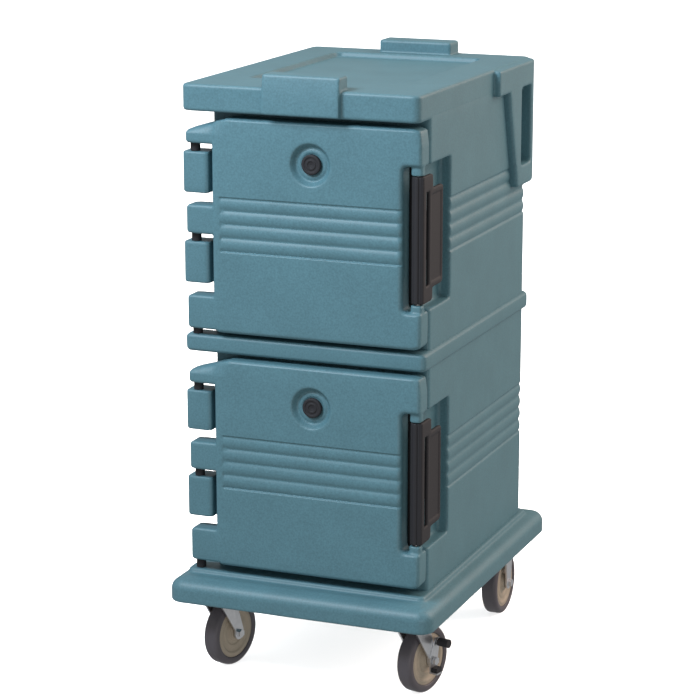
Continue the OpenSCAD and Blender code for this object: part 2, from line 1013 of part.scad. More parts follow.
module rl_bush() {
    translate([-wheel_x, rear_axle_y, 0])
        bush(0);
}

module rl_wheel() {
    translate([-wheel_x, rear_axle_y, 0])
        wheel(0);
}

module rl_tyre() {
    translate([-wheel_x, rear_axle_y, 0])
        tyre(0);
}

module rr_frame() {
    translate([wheel_x, rear_axle_y, 0])
        rigid_frame();
}

module rr_axle() {
    translate([wheel_x, rear_axle_y, 0])
        axle(0, leg_gap + leg_t);
}

module rr_bush() {
    translate([wheel_x, rear_axle_y, 0])
        bush(0);
}

module rr_wheel() {
    translate([wheel_x, rear_axle_y, 0])
        wheel(0);
}

module rr_tyre() {
    translate([wheel_x, rear_axle_y, 0])
        tyre(0);
}

body_shell();
foam_core();
upper_keeper();
lower_keeper();
keeper_screws();
caster_inserts();
caster_bolts();
upper_door_shell();
upper_door_foam();
upper_gasket();
upper_hinge_pins();
upper_latch_pin();
upper_latch_handle();
upper_vent_sleeve();
upper_vent_cap();
lower_door_shell();
lower_door_foam();
lower_gasket();
lower_hinge_pins();
lower_latch_pin();
lower_latch_handle();
lower_vent_sleeve();
lower_vent_cap();
fl_top_plate();
fl_king_bolt();
fl_ball_race();
fl_fork();
fl_axle();
fl_bush();
fl_wheel();
fl_tyre();
fr_top_plate();
fr_king_bolt();
fr_ball_race();
fr_fork();
fr_axle();
fr_bush();
fr_wheel();
fr_tyre();
fr_brake_lever();
fr_brake_pads();
rl_frame();
rl_axle();
rl_bush();
rl_wheel();
rl_tyre();
rr_frame();
rr_axle();
rr_bush();
rr_wheel();
rr_tyre();
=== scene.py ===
"""Insulated two-compartment food carrier: the looks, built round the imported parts.

The moulded pieces are cast: a distance function gives each point's distance to the surface, worked out on a
grid whose lines crowd where the shape turns, and the mesh is where that distance is zero. The round pieces
are a profile carried round an axis. Lengths inside the shape functions are in millimetres.
"""

import json
import math

import bpy
import numpy as np
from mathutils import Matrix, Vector


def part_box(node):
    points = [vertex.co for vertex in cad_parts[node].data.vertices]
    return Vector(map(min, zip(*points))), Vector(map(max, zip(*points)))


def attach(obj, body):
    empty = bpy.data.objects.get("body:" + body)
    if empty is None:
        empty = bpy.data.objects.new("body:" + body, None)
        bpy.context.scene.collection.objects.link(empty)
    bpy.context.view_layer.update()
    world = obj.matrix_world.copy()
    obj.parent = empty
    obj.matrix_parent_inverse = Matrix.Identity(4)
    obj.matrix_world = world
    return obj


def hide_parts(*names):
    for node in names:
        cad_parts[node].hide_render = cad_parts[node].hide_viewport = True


bl_info = {
    "name": "Insulated food carrier",
    "version": (1, 0, 0),
    "blender": (4, 5, 0),
    "location": "View3D > Sidebar > Food carrier",
    "description": "Builds a rotomoulded two-compartment food carrier round its packed parts",
    "category": "Add Mesh",
}

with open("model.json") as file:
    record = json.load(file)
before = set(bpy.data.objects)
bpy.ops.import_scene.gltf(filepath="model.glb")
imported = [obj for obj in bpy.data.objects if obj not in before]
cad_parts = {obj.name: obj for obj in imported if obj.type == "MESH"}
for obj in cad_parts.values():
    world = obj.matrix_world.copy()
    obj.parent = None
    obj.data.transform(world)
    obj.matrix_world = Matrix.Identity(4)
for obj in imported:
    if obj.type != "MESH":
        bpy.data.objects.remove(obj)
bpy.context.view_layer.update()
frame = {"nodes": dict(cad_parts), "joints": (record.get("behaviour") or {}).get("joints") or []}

MM = 0.001
DOORS = ("upper", "lower")


def box_mm(node):
    """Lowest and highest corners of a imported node, in millimetres."""
    low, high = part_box(node)
    return np.array(low) / MM, np.array(high) / MM


SHELL_LOW, SHELL_HIGH = box_mm("body_shell")
DOOR_LOW, DOOR_HIGH = box_mm("upper_door_shell")
DOOR_Z = {door: box_mm(door + "_door_shell")[0][2] for door in DOORS}
JOINTS = {joint["name"]: joint for joint in frame["joints"]}

# Cabinet: walls, compartments, collar and bumper, and the knuckles that hold the hinge pins
WALL_L, WALL_R = -194.0, DOOR_HIGH[0]
FRAME_Y, REAR_Y = -257.0, 290.0
CAVITY_X, CAVITY_Y = (-150.5, 181.5), 260.0
POCKET_REAR, POCKET_DEPTH = -149.0, 24.0
KNUCKLE_L, KNUCKLE_Y = -240.5, (-293.0, -246.0)
COLLAR_OUT, COLLAR_Z = 6.0, (622.0, 656.0)
PLINTH_OUT, PLINTH_FRONT, PLINTH_Z = 8.0, -297.0, (170.0, 205.0)
BUMPER_TOP, BUMPER_SLOPE = 197.0, 0.28
BUMPER_WALL, BUMPER_UNDER = 18.0, 157.0

# Lid: rim, recess and stacking pads
LID_X, LID_Y, LID_Z = (-231.0, 225.0), (-314.0, 302.0), (1069.0, 1118.0)
RECESS_X, RECESS_Y = (-148.0, 146.0), (-190.0, 226.0)
RECESS_DEPTH, RECESS_SLOPE = 10.0, 0.45
PAD_X = (-69.5, 78.5)
FRONT_PAD_Y, REAR_PAD_Y = (-325.0, -281.0), (250.0, 300.0)
PAD_LEAN, PAD_LEAN_Z = (5, 30), 1111.0

# Handles at the lid's rear corners: a step, a grip with a slanted front, and the finger tunnel through it
HANDLE_OUT, HANDLE_IN = 239.0, 186.0
STEP_Y = 80.0
GRIP_Z = (877.0, 1090.0)
SLANT_Y, SLANT_RISE, SLANT_RUN = 140.0, 191.0, 54.0
SLOT_Y = (211.0, 269.0)
TUNNEL_X, TUNNEL_Z = (189.0, 205.0), (918.0, 1068.0)
MOUTH_X, MOUTH_Y = 172.0, 268.0

# Doors, with heights above the bottom edge of each: the band is its start, the ribs' pitch and their count
BAND = (152.0, 24.8, 4)
CAVITY_Z = (36.0, 358.0)
NOTCH_X, NOTCH_Z = 189.0, (67.0, 327.0)
KNUCKLES = ((87.0, 164.0), (253.0, 329.0))
DOOR_TALL = 394.0
ARM_X, ARMS = (-230.0, -150.0), ((4.0, 67.0), (180.0, 234.0), (345.0, DOOR_TALL))
PANEL_L, SHOULDER_X = -177.0, -147.0
VENT_X, VENT_Z, DISH_R = 15.5, 319.5, 40.5

# Latch: its pin, its side plate, and each part's reach in depth and in height above the door's bottom edge
PIN_X, PIN_Y = 213.0, -287.0
PLATE_X, LATCH_Z = (219.0, 226.0), (82.0, 310.0)
FLAP_Y, FLAP_Z = (-262.0, -192.0), (105.0, 284.0)
WINDOW_Y, WINDOW_Z = (-278.0, -262.0), (112.0, 280.0)
FACE_Y, FACE_Z = (-253.0, -201.0), (116.0, 273.0)
HOOK_Y, HOOK_Z = (-207.0, -198.0), (156.0, 230.0)

# Wheels: half their width and the tread's radius. Vent caps: height, radius, and the stem's radius and length
WHEEL_HALF, TREAD_R = 16.0, 63.5
CAP_TALL, CAP_R, STEM_R, STEM_LONG = 8.0, 18.5, 6.0, 24.0

# Stage, in metres: half the floor's side, and the camera's place, direction and focal length in millimetres
FLOOR_HALF = 30.0
CAMERA_PLACE = (1.717, -4.337, 1.706)
AZIMUTH, ELEVATION = math.radians(21.95), math.radians(13.58)
FOCAL_LENGTH = 129.1


def linear(code):
    """A colour's sRGB hex code as linear red, green and blue."""
    parts = np.array([int(code[i:i + 2], 16) for i in (1, 3, 5)]) / 255
    return tuple(np.where(parts <= 0.04045, parts / 12.92, ((parts + 0.055) / 1.055) ** 2.4).tolist())


# ---- Settings ----


def colour(name, description, code):
    """A colour setting whose default is a hex code."""
    return bpy.props.FloatVectorProperty(
        name=name, description=description, default=linear(code), subtype="COLOR", size=3, min=0, max=1)


def length(name, description, default, low, high):
    """A length setting, given in millimetres and kept in metres."""
    return bpy.props.FloatProperty(
        name=name, description=description, default=default * MM, min=low * MM, max=high * MM,
        subtype="DISTANCE", unit="LENGTH")


class CarrierSizes(bpy.types.PropertyGroup):
    """Sizes of the moulded details"""
    grid: length("Grid step", "Spacing of the casting grid where a shape turns", 2.5, 2, 5)
    wall_edge: length("Wall edge", "Rounding of the cabinet's moulded edges", 7, 3, 10)
    lid_edge: length("Lid edge", "Rounding of the lid's rim", 6, 5, 14)
    door_edge: length("Door edge", "Rounding of the door's front edges", 9, 4, 12)
    rib_depth: length("Rib depth", "Depth of the grooves between the ribs", 3.6, 1, 4)
    dish_depth: length("Vent dish", "Depth of the dish round each vent", 12, 6, 13)


class CarrierColours(bpy.types.PropertyGroup):
    """Colour of each finish"""
    shell: colour("Shell", "Slate blue rotomoulded polyethylene", "#557d88")
    nylon: colour("Black nylon", "Latches, vents and hinge pins", "#0c0a13")
    zinc: colour("Zinc plate", "Caster forks, bolts and plates", "#e4e6e9")
    tyre: colour("Tyre", "Polyurethane tread", "#59555a")
    core: colour("Wheel core", "Moulded wheel centres", "#b3a795")
    gasket: colour("Gasket", "Silicone door gasket", "#2f2f31")
    floor: colour("Floor", "Studio floor", "#f7f7f7")


def sizes():
    """The scene's size settings."""
    return bpy.context.scene.carrier_sizes


def colours():
    """The scene's colour settings."""
    return bpy.context.scene.carrier_colours


# ---- Materials ----


def add(tree, kind, inputs=(), **settings):
    """Adds a node, sets its options, and fills its inputs with values or links."""
    node = tree.nodes.new(kind)
    for key, value in settings.items():
        setattr(node, key, value)
    for key, value in dict(inputs).items():
        if isinstance(value, bpy.types.NodeSocket):
            tree.links.new(value, node.inputs[key])
        else:
            node.inputs[key].default_value = value
    return node


def per_mm(size):
    """Noise scale that gives a grain of this size in millimetres, on coordinates in metres."""
    return 1 / (size * MM)


def shade(rgb, factor):
    """A colour made lighter or darker by a factor, with full alpha."""
    return tuple(min(channel * factor, 1) for channel in rgb) + (1,)


def new_material(name):
    """A material with its node tree and shader, or the finished one if it has been made already."""
    material = bpy.data.materials.get(name)
    if material:
        return material, None, None
    material = bpy.data.materials.new(name)
    material.use_nodes = True
    return material, material.node_tree, material.node_tree.nodes["Principled BSDF"]


def mottled(tree, where, rgb, grain, low, high):
    """Base colour that drifts between two shades over patches of one size."""
    noise = add(tree, "ShaderNodeTexNoise", {"Vector": where, "Scale": per_mm(grain), "Detail": 3.0})
    mix = add(tree, "ShaderNodeMix", {0: noise.outputs["Fac"], 6: shade(rgb, low), 7: shade(rgb, high)},
              data_type="RGBA")
    return mix.outputs[2]


def bumps(tree, where, layers):
    """Stacked bump maps, each given as grain in millimetres and height in millimetres."""
    normal = None
    for grain, height in layers:
        noise = add(tree, "ShaderNodeTexNoise", {"Vector": where, "Scale": per_mm(grain), "Detail": 2.0})
        inputs = {"Height": noise.outputs["Fac"], "Strength": 1.0, "Distance": height * MM}
        if normal:
            inputs["Normal"] = normal
        normal = add(tree, "ShaderNodeBump", inputs).outputs["Normal"]
    return normal


def rotomoulded_polyethylene():
    """Polyethylene powder melted on the inside of a blasted steel mould: a soft satin skin with an even
    fine grain, faint mottling where the powder fused, and slow waves where the wall cooled unevenly."""
    material, tree, shader = new_material("rotomoulded_polyethylene")
    if tree is None:
        return material
    rgb = tuple(colours().shell)
    where = add(tree, "ShaderNodeTexCoord").outputs["Object"]
    patches = mottled(tree, where, rgb, 70, 0.9, 1.1)
    grain = add(tree, "ShaderNodeTexNoise", {"Vector": where, "Scale": per_mm(3.4), "Detail": 4.0})
    fleck = add(tree, "ShaderNodeMapRange", {"Value": grain.outputs["Fac"], "From Min": 0.3, "From Max": 0.7,
                                             "To Min": 0.88, "To Max": 1.12})
    speckled = add(tree, "ShaderNodeMix", {0: 1.0, 6: patches, 7: fleck.outputs["Result"]},
                   data_type="RGBA", blend_type="MULTIPLY")
    tree.links.new(speckled.outputs[2], shader.inputs["Base Color"])
    gloss = add(tree, "ShaderNodeMapRange", {"Value": grain.outputs["Fac"], "To Min": 0.4, "To Max": 0.55})
    tree.links.new(gloss.outputs["Result"], shader.inputs["Roughness"])
    shader.inputs["IOR"].default_value = 1.5
    normal = bumps(tree, where, ((160, 1.6), (28, 0.4), (4.5, 0.08), (2.2, 0.08)))
    tree.links.new(normal, shader.inputs["Normal"])
    return material


def moulded_nylon(name, rgb, rough):
    """Injection-moulded nylon: a hard, slightly glossy skin with a fine spark-eroded grain."""
    material, tree, shader = new_material(name)
    if tree is None:
        return material
    where = add(tree, "ShaderNodeTexCoord").outputs["Object"]
    tree.links.new(mottled(tree, where, rgb, 12, 0.88, 1.12), shader.inputs["Base Color"])
    shader.inputs["Roughness"].default_value = rough
    shader.inputs["IOR"].default_value = 1.36
    tree.links.new(bumps(tree, where, ((1.1, 0.04),)), shader.inputs["Normal"])
    return material


def black_nylon():
    """Black nylon of the latches, vents and hinge pins."""
    return moulded_nylon("black_nylon", tuple(colours().nylon), 0.5)


def wheel_nylon():
    """Taupe nylon of the wheel centres."""
    return moulded_nylon("taupe_nylon", tuple(colours().core), 0.5)


def zinc_plated_steel():
    """Pressed steel sheet with a bright zinc plate: metallic, with small soft dents and streaks of
    duller plate."""
    material, tree, shader = new_material("zinc_plated_steel")
    if tree is None:
        return material
    where = add(tree, "ShaderNodeTexCoord").outputs["Object"]
    tree.links.new(mottled(tree, where, tuple(colours().zinc), 9, 0.82, 1.05), shader.inputs["Base Color"])
    noise = add(tree, "ShaderNodeTexNoise", {"Vector": where, "Scale": per_mm(6), "Detail": 5.0})
    gloss = add(tree, "ShaderNodeMapRange", {"Value": noise.outputs["Fac"], "To Min": 0.22, "To Max": 0.42})
    tree.links.new(gloss.outputs["Result"], shader.inputs["Roughness"])
    shader.inputs["Metallic"].default_value = 1.0
    tree.links.new(bumps(tree, where, ((14, 0.25), (1.5, 0.02))), shader.inputs["Normal"])
    return material


def polyurethane_tread():
    """Cast polyurethane: smooth and rubbery, a little scuffed, so its sheen is uneven."""
    material, tree, shader = new_material("polyurethane_tread")
    if tree is None:
        return material
    where = add(tree, "ShaderNodeTexCoord").outputs["Object"]
    tree.links.new(mottled(tree, where, tuple(colours().tyre), 16, 0.85, 1.15), shader.inputs["Base Color"])
    noise = add(tree, "ShaderNodeTexNoise", {"Vector": where, "Scale": per_mm(8), "Detail": 5.0})
    gloss = add(tree, "ShaderNodeMapRange", {"Value": noise.outputs["Fac"], "To Min": 0.34, "To Max": 0.6})
    tree.links.new(gloss.outputs["Result"], shader.inputs["Roughness"])
    shader.inputs["IOR"].default_value = 1.52
    tree.links.new(bumps(tree, where, ((3, 0.05),)), shader.inputs["Normal"])
    return material


def silicone():
    """Extruded silicone: matt and dark, with a dusty sheen."""
    material, tree, shader = new_material("silicone_gasket")
    if tree is None:
        return material
    where = add(tree, "ShaderNodeTexCoord").outputs["Object"]
    tree.links.new(mottled(tree, where, tuple(colours().gasket), 8, 0.85, 1.15), shader.inputs["Base Color"])
    shader.inputs["Roughness"].default_value = 0.7
    shader.inputs["IOR"].default_value = 1.43
    return material


def painted_floor():
    """Matt white studio floor, rolled paint."""
    material, tree, shader = new_material("studio_floor")
    if tree is None:
        return material
    where = add(tree, "ShaderNodeTexCoord").outputs["Object"]
    tree.links.new(mottled(tree, where, tuple(colours().floor), 400, 0.99, 1.0), shader.inputs["Base Color"])
    shader.inputs["Roughness"].default_value = 0.9
    return material


# ---- Distance functions, negative inside ----


def rect(u, v, u0, u1, v0, v1, r):
    """Rectangle with corners of radius r: how far a point is past its sides, or past its corner arcs."""
    du = np.abs(u - (u0 + u1) / 2) - (u1 - u0) / 2 + r
    dv = np.abs(v - (v0 + v1) / 2) - (v1 - v0) / 2 + r
    return np.hypot(np.maximum(du, 0), np.maximum(dv, 0)) + np.minimum(np.maximum(du, dv), 0) - r


def prism(outline, w, w0, w1, edge):
    """An outline carried from w0 to w1, with its end edges rounded."""
    a = outline + edge
    b = np.abs(w - (w0 + w1) / 2) - (w1 - w0) / 2 + edge
    return np.hypot(np.maximum(a, 0), np.maximum(b, 0)) + np.minimum(np.maximum(a, b), 0) - edge


def block(p, low, high, edge):
    """A box with all its edges rounded."""
    return prism(rect(p[0], p[1], low[0], high[0], low[1], high[1], edge), p[2], low[2], high[2], edge)


def both(a, b, k):
    """Where two shapes overlap, with a rounding of radius k on the edge they form."""
    return np.minimum(np.maximum(a, b), -k) + np.hypot(np.maximum(a + k, 0), np.maximum(b + k, 0))


def carve(a, tool, k):
    """A shape with another taken away, and the rim rounded by k."""
    return both(a, -tool, k)


def join(a, b, k):
    """Two shapes as one, with a fillet of radius k in the crease."""
    return np.maximum(np.minimum(a, b), k) - np.hypot(np.maximum(k - a, 0), np.maximum(k - b, 0))


def rib_recess(height, depth):
    """How deep the ribbed band lies under the face: shallow arcs that meet in grooves."""
    start, pitch, count = BAND
    phase = (height - start) / pitch
    inside = (phase >= 0) & (phase <= count)
    return np.where(inside, depth * (2 * (phase % 1) - 1) ** 2, 0)


def grid_lines(low, high, stops, spans=(), reach=10.0, coarse=26.0):
    """Grid lines from low to high: fine near each stop and along each span, coarse between them."""
    step = sizes().grid / MM
    count = int(reach / step)
    marks = [stop + (np.arange(-count, count) + 0.5) * step for stop in stops]
    marks += [np.arange(start, end, step * share) for start, end, share in spans]
    marks = np.unique(np.concatenate(marks + [np.array([low, high])]))
    marks = marks[(marks >= low) & (marks <= high)]
    kept = [marks[0]]
    for mark in marks[1:]:
        if mark - kept[-1] >= 0.55 * step:
            kept.append(mark)
    fine = np.array(kept)
    parts = [np.linspace(a, b, max(int(math.ceil((b - a) / coarse)), 1), endpoint=False)
             for a, b in zip(fine[:-1], fine[1:])]
    return np.concatenate(parts + [fine[-1:]])


def surface_net(field, axes):
    """The zero surface of a field on a grid: one vertex in each cell that the surface crosses, at the mean
    of the crossings on the cell's edges, and one quad round each grid edge that it crosses."""
    inside = field < 0
    cells = tuple(n - 1 for n in field.shape)
    total = np.zeros((3,) + cells, np.float32)
    count = np.zeros(cells, np.int8)
    hits = []
    for a in range(3):
        b, c = (a + 1) % 3, (a + 2) % 3
        low = tuple(slice(None, -1) if i == a else slice(None) for i in range(3))
        high = tuple(slice(1, None) if i == a else slice(None) for i in range(3))
        hit = inside[low] != inside[high]
        share = np.where(hit, field[low] / np.where(hit, field[low] - field[high], 1), 0)
        line = [axes[i].reshape([-1 if i == j else 1 for j in range(3)]).astype(np.float32) for i in range(3)]
        place = line[a][low] + share * (line[a][high] - line[a][low])
        for at_b in (0, 1):
            for at_c in (0, 1):
                pick = [slice(None)] * 3
                pick[b] = slice(at_b, at_b + cells[b])
                pick[c] = slice(at_c, at_c + cells[c])
                pick = tuple(pick)
                here = hit[pick]
                total[a] += here * place[pick]
                total[b] += here * line[b][tuple(pick[i] if i == b else slice(None) for i in range(3))]
                total[c] += here * line[c][tuple(pick[i] if i == c else slice(None) for i in range(3))]
                count += here
        hits.append(hit)
    active = count > 0
    number = np.full(cells, -1, np.int64)
    number[active] = np.arange(active.sum())
    points = (total[:, active] / count[active]).T
    quads = []
    for a in range(3):
        b, c = (a + 1) % 3, (a + 2) % 3
        at = np.array(np.nonzero(hits[a]))
        at = at[:, (at[b] > 0) & (at[b] < cells[b]) & (at[c] > 0) & (at[c] < cells[c])]
        corners = []
        for back_b, back_c in ((1, 1), (0, 1), (0, 0), (1, 0)):
            cell = at.copy()
            cell[b] -= back_b
            cell[c] -= back_c
            corners.append(number[tuple(cell)])
        quad = np.stack(corners, axis=1)
        outward = inside[tuple(at)]
        quad[~outward] = quad[~outward][:, ::-1]
        quads.append(quad)
    return points, np.concatenate(quads)


# ---- Pieces ----


def place_piece(name, points, quads, material, body, nodes):
    """Puts a mesh, given in millimetres, into the scene, hangs it on the body it rides on, and hides the
    imported nodes it stands in for.
    """
    mesh = bpy.data.meshes.new(name)
    mesh.vertices.add(len(points))
    mesh.vertices.foreach_set("co", (np.asarray(points, np.float64) * MM).ravel())
    mesh.loops.add(quads.size)
    mesh.loops.foreach_set("vertex_index", quads.ravel().astype(np.int32))
    mesh.polygons.add(len(quads))
    mesh.polygons.foreach_set("loop_start", np.arange(0, quads.size, 4, dtype=np.int32))
    mesh.polygons.foreach_set("use_smooth", np.ones(len(quads), bool))
    mesh.update(calc_edges=True)
    mesh.validate()
    piece = bpy.data.objects.new(name, mesh)
    bpy.context.scene.collection.objects.link(piece)
    mesh.materials.append(material)
    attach(piece, body)
    if nodes:
        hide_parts(*nodes)
    return piece


def cast(name, shape, axes, material, body, nodes):
    """Works a distance function out on the grid, takes its zero surface, and weights its normals by area,
    so that flat faces stay flat up to their rounded edges."""
    p = np.meshgrid(*[axis.astype(np.float32) for axis in axes], indexing="ij", sparse=True)
    field = shape(p).astype(np.float32)
    points, quads = surface_net(field, axes)
    piece = place_piece(name, points, quads, material, body, nodes)
    weighted = piece.modifiers.new("even_normals", "WEIGHTED_NORMAL")
    weighted.mode = "FACE_AREA"
    weighted.weight = 80
    return piece


def turned(name, profile, centre, axis, material, body, nodes, steps=96):
    """A closed profile of (distance along the axis, radius) carried round the axis."""
    axis = Vector(axis).normalized()
    across = axis.orthogonal().normalized()
    other = axis.cross(across)
    profile = np.array(profile, float)
    angle = np.arange(steps) * 2 * math.pi / steps
    spoke = np.cos(angle)[:, None] * np.array(across) + np.sin(angle)[:, None] * np.array(other)
    along = profile[:, 0, None, None] * np.array(axis)
    points = np.array(centre) + along + profile[:, 1, None, None] * spoke[None]
    i, j = np.meshgrid(np.arange(len(profile)), np.arange(steps), indexing="ij")
    i2, j2 = (i + 1) % len(profile), (j + 1) % steps
    quads = np.stack([i * steps + j, i * steps + j2, i2 * steps + j2, i2 * steps + j], axis=-1).reshape(-1, 4)
    area = np.sum(profile[:, 0] * np.roll(profile[:, 1], -1) - np.roll(profile[:, 0], -1) * profile[:, 1])
    if area > 0:
        quads = quads[:, ::-1]
    piece = place_piece(name, points.reshape(-1, 3), quads, material, body, nodes)
    edge = piece.modifiers.new("soft_edges", "BEVEL")
    edge.width = 0.5 * MM
    edge.segments = 2
    edge.limit_method = "ANGLE"
    edge.angle_limit = math.radians(25)
    edge.harden_normals = False
    return piece


def arc(along, radius, r, start, end, count=6):
    """Points of an arc in a profile, about (along, radius)."""
    angle = np.radians(np.linspace(start, end, count + 1))
    return np.stack([along + r * np.cos(angle), radius + r * np.sin(angle)], axis=1).tolist()


# ---- Cabinet ----


def tunnel(p, grow=0.0):
    """Finger slot in the side of each rear top corner, and the way round behind the grip to the rear."""
    x = np.abs(p[0])
    near, far = TUNNEL_X[0] - grow, TUNNEL_X[1] + grow
    side = prism(rect(x, p[1], near, 260, SLOT_Y[0] - grow, SLOT_Y[1] + grow, 8), p[2], *TUNNEL_Z, 8)
    way = prism(rect(x, p[1], near, far, 250, 320, 4), p[2], *TUNNEL_Z, 5)
    mouth = prism(rect(x, p[1], MOUTH_X - grow, far, MOUTH_Y - grow, 330, 6), p[2], *TUNNEL_Z, 6)
    return np.minimum(np.minimum(side, way), mouth)


def lid_shape(p):
    """Lid slab with a shallow recess, two stacking pads and the two handles at the rear corners."""
    x, y, z = p
    top = SHELL_HIGH[2]
    edge = sizes().lid_edge / MM
    lid = prism(rect(x, y, *LID_X, *LID_Y, 15), z, *LID_Z, edge)
    floor = LID_Z[1] - RECESS_DEPTH
    sloped = rect(x, y, *RECESS_X, *RECESS_Y, 12) - RECESS_SLOPE * (z - floor)
    lid = carve(lid, both(sloped, floor - z, 2), 2.5)
    front = prism(rect(y, z, *FRONT_PAD_Y, LID_Z[0] + 2, top, 4.5), x, *PAD_X, 4)
    # The front pad's face leans back, by the first number over a rise of the second
    back, rise = PAD_LEAN
    front = both(front, ((z - PAD_LEAN_Z) * back - (y - FRONT_PAD_Y[0]) * rise) / 30.4, 4)
    lid = join(lid, front, 2.5)
    rear = block(p, (PAD_X[0], REAR_PAD_Y[0], LID_Z[1] - 30), (PAD_X[1], REAR_PAD_Y[1], top), 5.5)
    lid = join(lid, rear, 2.5)
    side = np.abs(x)
    # The handles' outline keeps to the walls, clear of the recess and of the compartment inside
    outside = rect(side, y, -300, HANDLE_OUT, 60, LID_Y[1], 22)
    inside = rect(side, y, -300, HANDLE_IN, 0, 266, 2)
    corner = np.maximum(outside, -inside)
    step = prism(both(corner, STEP_Y - y, 5), z, LID_Z[0] - 3, LID_Z[1] - 3, 5)
    grip = prism(corner, z, *GRIP_Z, 6)
    along = (y - SLANT_Y) * SLANT_RISE + (z - TUNNEL_Z[1]) * SLANT_RUN
    slant = -along / math.hypot(SLANT_RISE, SLANT_RUN)
    grip = both(grip, slant, 6)
    return carve(join(lid, np.minimum(step, grip), 3), tunnel(p), 4)


def compartment_shape(base, low, high):
    """One compartment's walls: ribbed outside, a rounded cavity with pan rails, the latch pocket and the two
    hinge knuckles."""

    def shape(p):
        x, y, z = p
        edge = sizes().wall_edge / MM
        rise = z - base
        recess = np.where(y > POCKET_REAR, rib_recess(rise, sizes().rib_depth / MM), 0)
        walls = rect(x, y, WALL_L, WALL_R, FRAME_Y - 60, REAR_Y, 22) + recess
        body = both(walls, FRAME_Y - y, edge)
        body = np.maximum(body, np.maximum(low - z, z - high))
        pocket = block((x, y, rise), (WALL_R - POCKET_DEPTH, FRAME_Y - 60, NOTCH_Z[0]),
                       (WALL_R + 60, POCKET_REAR, NOTCH_Z[1]), 9)
        body = carve(body, pocket, 4)
        cavity = block((x, y, rise), (CAVITY_X[0], FRAME_Y - 80, CAVITY_Z[0]),
                       (CAVITY_X[1], CAVITY_Y, CAVITY_Z[1]), 12)
        pitch = (CAVITY_Z[1] - CAVITY_Z[0]) / 4
        depth = np.minimum(x - CAVITY_X[0], CAVITY_X[1] - x)
        rail = prism(rect(depth, (rise - CAVITY_Z[0]) % pitch, -30, 10, 27, 53, 5), y, -235, 300, 6)
        cavity = np.maximum(cavity, -rail)
        body = carve(body, cavity, 5)
        knuckle = rect(x, y, KNUCKLE_L, WALL_L + 6, *KNUCKLE_Y, 10)
        for start, end in KNUCKLES:
            body = join(body, prism(knuckle, rise, start, end, 4), 8)
        return carve(body, tunnel(p, 1.0), 3)

    return shape


def compartment(name, base, low, high, material):
    """Casts one compartment, with grid lines where its walls, knuckles, rails and ribs turn."""
    stops = (KNUCKLE_L, WALL_L, WALL_L + 6, CAVITY_X[0] + 4, CAVITY_X[1] - 4, 201, 225)
    xs = grid_lines(-250, 240, stops, reach=12)
    ys = grid_lines(-305, 302, (KNUCKLE_Y[0], FRAME_Y, -240, POCKET_REAR, CAVITY_Y, 280, REAR_Y), reach=12)
    pitch = (CAVITY_Z[1] - CAVITY_Z[0]) / 4
    rails = [base + CAVITY_Z[0] + k * pitch + at for k in range(4) for at in (27, 53)]
    ends = [base + at for span in KNUCKLES for at in span]
    ends += [base + at for at in NOTCH_Z + CAVITY_Z] + rails
    band = (base + BAND[0] - 4, base + BAND[0] + BAND[1] * BAND[2] + 4, 1.0)
    zs = grid_lines(low - 6, high + 6, ends + [low, high], spans=(band,), reach=5)
    return cast(name, compartment_shape(base, low, high), (xs, ys, zs), material, "cabinet",
                ["body_shell"])


def belt_shape(out, front, low, high, edge):
    """A belt that stands out from the walls, with a seat for the hinge pins at its front left corner."""

    def shape(p):
        x, y, z = p
        outline = np.minimum(rect(x, y, WALL_L - out, WALL_R + out, front, REAR_Y + out, 14),
                             rect(x, y, KNUCKLE_L, WALL_L + 40, front, KNUCKLE_Y[1], 12))
        return prism(outline, z, low, high, edge)

    return shape


def bumper_shape(p):
    """Bumper with a full round edge and a gently sloped top, hollow under, with the plinth on it."""
    x, y, z = p
    half_w, half_d = SHELL_HIGH[0], SHELL_HIGH[1]
    outline = rect(x, y, -half_w, half_w, -half_d, half_d, 28)
    top = z - BUMPER_TOP + BUMPER_SLOPE * np.maximum(outline + 30, 0)
    ring = both(both(outline, top, 14), SHELL_LOW[2] - z, 5)
    plinth = belt_shape(PLINTH_OUT, PLINTH_FRONT, *PLINTH_Z, 5)(p)
    ring = join(ring, plinth, 4)
    in_w, in_d = half_w - BUMPER_WALL, half_d - BUMPER_WALL
    under = rect(x, y, -in_w, in_w, -in_d, in_d, 20)
    return carve(ring, both(under, z - BUMPER_UNDER, 2), 3)


